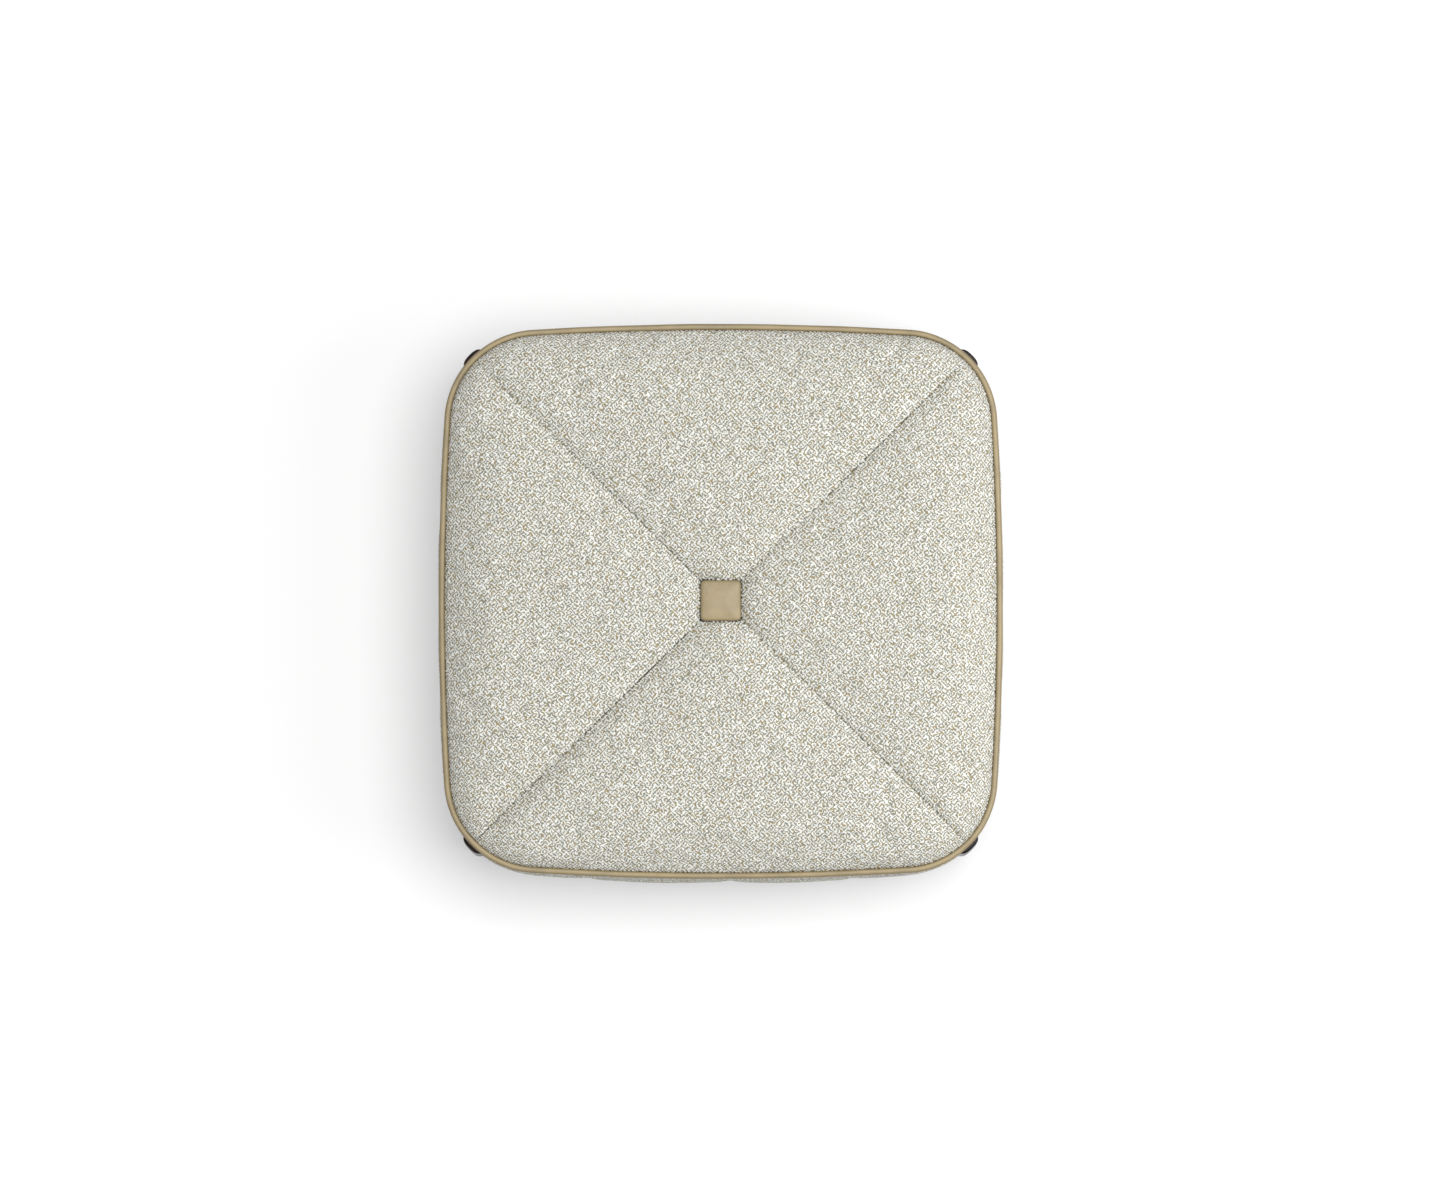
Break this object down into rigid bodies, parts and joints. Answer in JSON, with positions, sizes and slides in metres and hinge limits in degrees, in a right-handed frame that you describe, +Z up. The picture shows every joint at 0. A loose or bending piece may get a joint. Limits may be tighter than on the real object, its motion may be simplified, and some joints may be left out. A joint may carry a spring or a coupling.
{
  "type": "upholstered seat pad",
  "caption": "Square upholstered seat pad with a tufted leather button, leather piping and short dark corner legs that level on screw glides.",
  "frame": {"origin": "on the floor, below the centre of the pad", "axes": "+Z up, +X to the right across the wider direction, -Y towards the front"},
  "size_m": [0.45, 0.443, 0.1482],
  "materials": {
    "boucle": "matte",
    "trim_leather": "satin",
    "dark_wood": "gloss",
    "beech": "matte",
    "foam": "matte",
    "wadding": "matte",
    "jute_cloth": "matte",
    "elastic_webbing": "matte",
    "dust_cloth": "matte",
    "zinc_steel": "satin",
    "nylon": "satin",
    "cotton_cord": "matte"
  },
  "bodies": {
    "pad": {"block_screw_back_left_1": "zinc_steel", "block_screw_back_left_2": "zinc_steel", "block_screw_back_right_1": "zinc_steel", "block_screw_back_right_2": "zinc_steel", "block_screw_front_left_1": "zinc_steel", "block_screw_front_left_2": "zinc_steel", "block_screw_front_right_1": "zinc_steel", "block_screw_front_right_2": "zinc_steel", "bolt_nut_back_left": "zinc_steel", "bolt_nut_back_right": "zinc_steel", "bolt_nut_front_left": "zinc_steel", "bolt_nut_front_right": "zinc_steel", "bolt_washer_back_left": "zinc_steel", "bolt_washer_back_right": "zinc_steel", "bolt_washer_front_left": "zinc_steel", "bolt_washer_front_right": "zinc_steel", "button_anchor": "nylon", "button_core": "nylon", "button_leather": "trim_leather", "button_twine": "cotton_cord", "corner_block_back_left": "beech", "corner_block_back_right": "beech", "corner_block_front_left": "beech", "corner_block_front_right": "beech", "decking_cloth": "jute_cloth", "dust_cover": "dust_cloth", "foam_core": "foam", "hanger_bolt_back_left": "zinc_steel", "hanger_bolt_back_right": "zinc_steel", "hanger_bolt_front_left": "zinc_steel", "hanger_bolt_front_right": "zinc_steel", "leg_back_left": "dark_wood", "leg_back_right": "dark_wood", "leg_front_left": "dark_wood", "leg_front_right": "dark_wood", "piping_cord": "cotton_cord", "piping_leather": "trim_leather", "rail_back": "beech", "rail_front": "beech", "rail_left": "beech", "rail_right": "beech", "side_band_back": "boucle", "side_band_front": "boucle", "side_band_left": "boucle", "side_band_right": "boucle", "top_panel_back": "boucle", "top_panel_front": "boucle", "top_panel_left": "boucle", "top_panel_right": "boucle", "wadding": "wadding", "webbing_across_1": "elastic_webbing", "webbing_across_2": "elastic_webbing", "webbing_across_3": "elastic_webbing", "webbing_lengthways_1": "elastic_webbing", "webbing_lengthways_2": "elastic_webbing", "webbing_lengthways_3": "elastic_webbing"},
    "glide_back_right_body": {"glide_back_right": "nylon"},
    "glide_back_left_body": {"glide_back_left": "nylon"},
    "glide_front_left_body": {"glide_front_left": "nylon"},
    "glide_front_right_body": {"glide_front_right": "nylon"}
  },
  "joints": [
    {"name": "glide_back_right_height", "type": "slide", "parent": "pad", "child": "glide_back_right_body", "axis": [0, 0, -1], "range_m": [0, 0.006]},
    {"name": "glide_back_left_height", "type": "slide", "parent": "pad", "child": "glide_back_left_body", "axis": [0, 0, -1], "range_m": [0, 0.006]},
    {"name": "glide_front_left_height", "type": "slide", "parent": "pad", "child": "glide_front_left_body", "axis": [0, 0, -1], "range_m": [0, 0.006]},
    {"name": "glide_front_right_height", "type": "slide", "parent": "pad", "child": "glide_front_right_body", "axis": [0, 0, -1], "range_m": [0, 0.006]}
  ]
}
